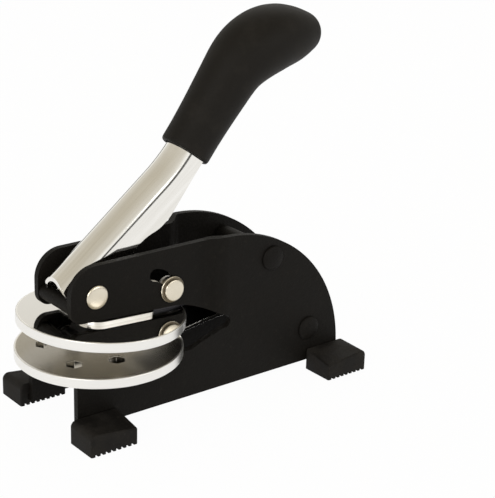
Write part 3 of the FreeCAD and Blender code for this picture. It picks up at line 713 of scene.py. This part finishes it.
def lever_side_tool():
    """Side view of the lever as a thick slab; what lies inside it is kept."""
    toe = pivot + Vector((-8.8 * mm, 0, -0.45 * mm))
    cut = pivot + Vector((-9.9 * mm, 0, 2.75 * mm))
    ear = [pivot + ear_radius * Vector((math.cos(math.radians(a)), 0, math.sin(math.radians(a))))
           for a in range(184, 285, 10)]
    cheek_places = ((6.0, 13.2), (10.5, 14.0), (14.5, 11.4), (17.5, 7.6), (23.0, 5.6))
    cheek = [on_lever(*place) for place in cheek_places]
    belly = [on_lever(*place) for place in ((28.5, 6.1), (34.0, 7.9), (39.5, 7.9))]
    grip_end = [on_bend(*place) for place in ((0.0, 6.4), (0.45, 4.7), (1.0, 4.2))]
    low = grip_end[-1] + heading(bend_turn) * tang
    top = pivot.z + 100 * mm
    front = [Vector((cut.x, 0, top)), cut, toe] + ear
    rounded = cheek + belly + grip_end
    corners = front + rounded + [low, Vector((low.x + tang, 0, top))]
    half_slab = 12 * mm
    tool = new_piece("side_tool")
    shape = bmesh.new()
    verts = [shape.verts.new(place - Vector((0, half_slab, 0))) for place in corners]
    for pair in zip(verts, verts[1:] + verts[:1]):
        shape.edges.new(pair)
    soft = verts[len(front):len(front) + len(rounded)]
    bmesh.ops.bevel(shape, geom=soft, offset=1.6 * mm, segments=6, affect="VERTICES", profile=0.5,
                    material=-1)
    face = bmesh.ops.contextual_create(shape, geom=shape.edges[:])["faces"]
    raised = bmesh.ops.extrude_face_region(shape, geom=face)
    far = only(bmesh.types.BMVert, raised["geom"])
    bmesh.ops.translate(shape, verts=far, vec=(0, 2 * half_slab, 0))
    settle(shape, tool)
    return tool


def lever_plating():
    finish = Finish("lever_chrome", Metallic=1.0)
    smears = finish.noise(75.0, 4.0, roughness=0.65)
    pits = finish.noise(900.0, 2.0)
    lengthwise = finish.start.node("Mapping", {"vector_type": "TEXTURE"}, {
        "Vector": finish.place, "Location": pivot, "Rotation": (0, -rest_slope, 0)})
    streaks = finish.noise(620.0, 3.0, lengthwise * (0.03, 1.0, 1.0), roughness=0.6)
    tone = smears * 0.35 + streaks.ramp((0.32, 0.0), (0.68, 1.0)) * 0.65
    chrome = finish.start.mix(tone, (0.79, 0.775, 0.735, 1), (0.93, 0.92, 0.895, 1))
    finish.drive("Base Color", chrome)
    finish.drive("Roughness", 0.05 + smears.ramp((0.45, 0.0), (0.8, 1.0)) * 0.05 + streaks * 0.04)
    finish.bump((pits, 0.0000012), (finish.noise(45.0, 1.0), 0.000012))
    return finish.material


lever_chrome = lever_plating()
lever = lever_sheet()
wall = lever.modifiers.new("wall", "SOLIDIFY")
wall.thickness = sheet * mm
wall.offset = -1.0
carve(lever, lever_side_tool(), "INTERSECT")
lever.data.materials.clear()
lever.data.materials.append(lever_chrome)
round_edges(lever, 0.22 * mm, segments=2, crease_deg=50)
smooth(lever.data, 40)
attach(lever, "lever")
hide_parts("lever_channel")


# ------------------------------------------------------------------ pivot rivet
# A 5 mm rivet through both arms, the washers, the lever and the cam.
# Its wide low heads are turned almost flat, with a rounded rim, and satin nickel plated.
def satin_nickel(name, centre=None):
    """Satin plating; with a centre, painted shade darkens the step around the pin head's face."""
    finish = Finish(name, Metallic=1.0)
    grain = finish.noise(700.0, 4.0, roughness=0.7)
    smears = finish.noise(160.0, 3.0)
    plating = finish.start.mix(smears, (0.66, 0.60, 0.48, 1), (0.84, 0.78, 0.66, 1))
    if centre is not None:
        place = finish.axes()
        x = place[0] - centre.x
        z = place[2] - centre.z
        radius = (x * x + z * z).power(0.5)
        past_rim = radius.ramp_between(4.62 * mm, 4.78 * mm)
        # Painted shade: the step between the pin head's face and its flange rim is darkened.
        step = radius.ramp_between(3.93 * mm, 4.02 * mm) * (1.0 - past_rim)
        plating = finish.start.mix(step * 0.95, plating, (0.13, 0.105, 0.070, 1))
    finish.drive("Base Color", plating)
    finish.drive("Roughness", 0.22 + grain * 0.16)
    finish.bump((grain, 0.000006))
    return finish.material


nickel = satin_nickel("satin_nickel")
pivot_head_height = 1.0
arm_face_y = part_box("pivot_rivet")[1].y - pivot_head_height * mm
pivot_head = [(0.0, pivot_head_height), (1.4, 0.985), (2.4, 0.95), (3.2, 0.88), (3.75, 0.76),
              (4.1, 0.58), (4.27, 0.38), (4.3, 0.2), (4.22, 0.06), (4.0, 0.0), (0.0, 0.0)]
for side in (-1, 1):
    seat = Vector((pivot.x, side * arm_face_y, pivot.z))
    name = f"pivot_rivet_head_{'right' if side < 0 else 'left'}"
    head = spun_about_y(name, seat, side, pivot_head, nickel, "frame")
shank_radius = 2.48
shank_half = 12.0
shank_outline = [(0.0, shank_half), (shank_radius, shank_half), (shank_radius, -shank_half),
                 (0.0, -shank_half)]
shank = spun_about_y("pivot_rivet_shank", Vector((pivot.x, 0, pivot.z)), 1, shank_outline,
                     nickel, "frame", 48)
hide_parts("pivot_rivet")

# ------------------------------------------------------------------ lock pin
# A short thick pin that rides in the curved slot of the right arm, held by a plain washer inside.
# Its head is turned from one piece with a thin flange behind a smaller flat face; nickel plated.
pin_axis = middle("lock_pin_shaft")
shaft_low, shaft_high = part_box("lock_pin_shaft")
shaft_length = (shaft_high.y - shaft_low.y) / mm
shaft_radius = 2.3
shaft_tip_radius = 2.0
shaft_outline = [(0.0, 0.0), (shaft_radius, 0.0), (shaft_radius, shaft_length - 0.3),
                 (shaft_tip_radius, shaft_length), (0.0, shaft_length)]
shaft_seat = Vector((pin_axis.x, shaft_low.y, pin_axis.z))
shaft = spun_about_y("lock_pin_rod", shaft_seat, 1, shaft_outline, nickel, "lock_pin", 48)
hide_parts("lock_pin_shaft")
head_seat = Vector((pin_axis.x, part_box("lock_pin_head")[1].y, pin_axis.z))
head_outline = [(0.0, 1.9), (3.5, 1.9), (3.75, 1.84), (3.9, 1.72), (3.97, 1.5), (4.0, 0.78),
                (4.45, 0.70), (4.72, 0.62), (4.87, 0.46), (4.9, 0.3), (4.83, 0.12), (4.65, 0.0),
                (0.0, 0.0)]
pin_nickel = satin_nickel("pin_head_nickel", pin_axis)
pin_head = spun_about_y("lock_pin_button", head_seat, -1, head_outline, pin_nickel, "lock_pin")
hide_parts("lock_pin_head")
washer_edge = 0.15 * mm
pin_washer = soft_copy("lock_pin_washer", washer_edge, washer_steel, "lock_pin", segments=2)


# ------------------------------------------------------------------ grip
# A moulded rubber sleeve pushed over the lever's tang: slim at the mouth, bent over and swelling
# to a palm bulb at the end.  Its skin is matt, slightly mottled from handling, and lighter at the
# top as a painted highlight.
def grip_rubber_finish():
    finish = Finish("grip_rubber", Specular_IOR_Level=0.14)
    grain = finish.noise(2300.0, 3.0, roughness=0.6)
    mottle = finish.noise(115.0, 4.0, roughness=0.6)
    height = finish.axes()[2]
    # Lighter and warmer towards the palm bulb at the top: a painted highlight, mixed with real
    # mottle.
    painted_highlight_and_mottle = height.ramp_between(105 * mm, 140 * mm) * 0.7 + mottle * 0.3
    base = finish.start.mix(painted_highlight_and_mottle, (0.0078, 0.0066, 0.0054, 1), (0.0088, 0.0074, 0.0056, 1))
    chalky = mottle.ramp((0.5, 0.0), (0.75, 1.0)) * 0.4
    finish.drive("Base Color", finish.start.mix(chalky, base, (0.0215, 0.0190, 0.0160, 1)))
    finish.drive("Roughness", 0.50 + mottle * 0.16)
    finish.bump((grain, 0.000045), (mottle, 0.00004))
    return finish.material


grip_heading = heading(bend_turn)
grip_turn = math.radians(51.0)
neck_length = 30.2 * mm
curve_radius = 28.6 * mm
palm_length = 9.8 * mm
end_radius = 8.1
end_bulge = 8.0
curve_start = bend_end + grip_heading * neck_length
curve_centre = curve_start - upward(bend_turn) * curve_radius
end_slope = bend_turn - grip_turn
curve_end = curve_centre + upward(end_slope) * curve_radius
end_centre = curve_end + heading(end_slope) * palm_length


def grip_rings():
    """Places, slopes and radii in millimetres: recess, lip, neck, palm curve and round end."""
    rings = []
    sleeve = [(3.0, 7.3), (0.5, 7.3), (-1.6, 7.35), (-2.2, 7.7), (-2.4, 8.3), (-2.3, 8.9),
              (-1.8, 9.3), (-0.9, 9.42), (1.0, 9.4), (4.5, 9.4), (8.0, 9.5), (13.5, 9.7),
              (19.0, 10.05), (24.6, 10.4)]
    for along, radius in sleeve:
        rings.append((bend_end + grip_heading * along * mm, bend_turn, radius))
    curve = [(0.0, 10.8), (0.15, 11.4), (0.3, 12.0), (0.45, 12.4), (0.6, 12.6), (0.73, 12.6),
             (0.86, 12.4), (1.0, 11.85)]
    for share, radius in curve:
        slope = bend_turn - grip_turn * share
        rings.append((curve_centre + upward(slope) * curve_radius, slope, radius))
    for along, radius in ((3.3, 11.1), (6.3, 10.25), (9.2, 9.15)):
        rings.append((curve_end + heading(end_slope) * along * mm, end_slope, radius))
    for angle in (17, 32, 47, 62, 76):
        out = end_bulge * math.sin(math.radians(angle))
        radius = end_radius * math.cos(math.radians(angle))
        rings.append((end_centre + heading(end_slope) * out * mm, end_slope, radius))
    return rings


def round_section(place, slope, radius):
    turned = Matrix((Vector((0, 1, 0)), -upward(slope), heading(slope))).transposed().to_4x4()
    return Matrix.Translation(place) @ turned @ Matrix.Diagonal((radius * mm, radius * mm, 1, 1))


grip_sections = [round_section(*ring) for ring in grip_rings()]
grip = drawn_through("grip_moulding", 40, grip_sections, grip_rubber_finish())
rounding = grip.modifiers.new("smooth", "SUBSURF")
rounding.levels = 2
rounding.render_levels = 2
grip.data.shade_smooth()
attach(grip, "lever")
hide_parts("grip")


# ------------------------------------------------------------------ studio
# A white floor under a pale world and three large soft lamps, and the camera above the discs.
# The floor keeps the soft contact shadow and stays near white to the camera.
def studio_floor():
    floor = new_piece("floor")
    shape = bmesh.new()
    bmesh.ops.create_grid(shape, x_segments=1, y_segments=1, size=3.0)
    shape.to_mesh(floor.data)
    shape.free()
    material = bpy.data.materials.new("white_floor")
    material.use_nodes = True
    tree = material.node_tree
    start = Shade(tree, None)
    path = tree.nodes.new("ShaderNodeLightPath")
    seen = Shade(tree, path.outputs["Is Camera Ray"])
    mirrored = Shade(tree, path.outputs["Is Glossy Ray"])
    shader = tree.nodes["Principled BSDF"]
    shader.inputs["Base Color"].default_value = (0.86, 0.86, 0.86, 1)
    shader.inputs["Roughness"].default_value = 0.9
    glow = start.node("Emission", None, {"Color": (1, 1, 1, 1), "Strength": 1.0})
    white_seen, white_mirrored = 0.97, 0.78
    share = (seen * white_seen).at_least(mirrored * white_mirrored)
    matt = Shade(tree, shader.outputs[0])
    mixed = start.node("MixShader", None, {0: share, 1: matt, 2: glow})
    tree.links.new(mixed.socket, tree.nodes["Material Output"].inputs["Surface"])
    floor.data.materials.append(material)


def studio_world():
    world = bpy.data.worlds.new("studio")
    bpy.context.scene.world = world
    world.use_nodes = True
    tree = world.node_tree
    start = Shade(tree, None)
    seen = start.node("LightPath")
    background = tree.nodes["Background"]
    direction = start.node("TexCoord", out=0)
    height = start.node("SeparateXYZ", None, {0: direction}, out=2)
    place = (height + 0.2) / 1.2
    pale = place.ramp((0.20, 1.0), (0.35, 1.0), (0.42, 0.7), (0.50, 0.4), (0.67, 0.25),
                      (0.83, 0.1), (0.92, 0.0), (1.0, 0.3))
    line = place.ramp((0.25, 0.10), (0.27, 1.0))
    around = start.mix(pale, (0.57, 0.525, 0.43, 1), (1.0, 0.99, 0.95, 1)) * line
    tree.links.new(start.mix(seen, around, (1, 1, 1, 1)).socket, background.inputs["Color"])
    background.inputs["Strength"].default_value = 1.0


def soft_lamp(name, place, aim, size, power, colour=(1.0, 1.0, 1.0)):
    lamp = bpy.data.lights.new(name, "AREA")
    lamp.shape = "RECTANGLE"
    lamp.size, lamp.size_y = size
    lamp.energy = power
    lamp.color = colour
    holder = bpy.data.objects.new(name, lamp)
    bpy.context.scene.collection.objects.link(holder)
    holder.location = place
    holder.rotation_mode = "QUATERNION"
    holder.rotation_quaternion = (Vector(place) - Vector(aim)).to_track_quat("Z", "Y")


studio_floor()
studio_world()
look_at = (0.0, 0.0, 0.06)
soft_lamp("key", (-0.80, -0.42, 0.42), look_at, (0.6, 0.5), 3.2, (1.0, 0.985, 0.96))
soft_lamp("fill", (0.30, -0.80, 0.40), look_at, (0.5, 0.3), 1.2)
soft_lamp("back", (0.55, 0.45, 0.70), look_at, (0.6, 0.5), 1.2)

azimuth = math.radians(-38.96)
elevation = math.radians(20.389)
roll = math.radians(1.865)
distance = 538.3 * mm
target = Vector((lower_seat.x + 66.37 * mm, 0, 47.64 * mm))
level = math.cos(elevation)
lens_axis = Vector((math.sin(azimuth) * level, -math.cos(azimuth) * level, math.sin(elevation)))
focal_pixels = 1427.6
view_pixels = 498
eye = bpy.data.cameras.new("camera")
eye.sensor_width = 36.0
eye.lens = focal_pixels / view_pixels * eye.sensor_width
eye.clip_end = 20.0
camera = bpy.data.objects.new("camera", eye)
bpy.context.scene.collection.objects.link(camera)
camera.location = target + lens_axis * distance
camera.rotation_mode = "QUATERNION"
camera.rotation_quaternion = lens_axis.to_track_quat("Z", "Y") @ Quaternion((0, 0, 1), roll)
bpy.context.scene.camera = camera
bpy.context.scene.view_settings.view_transform = "Standard"
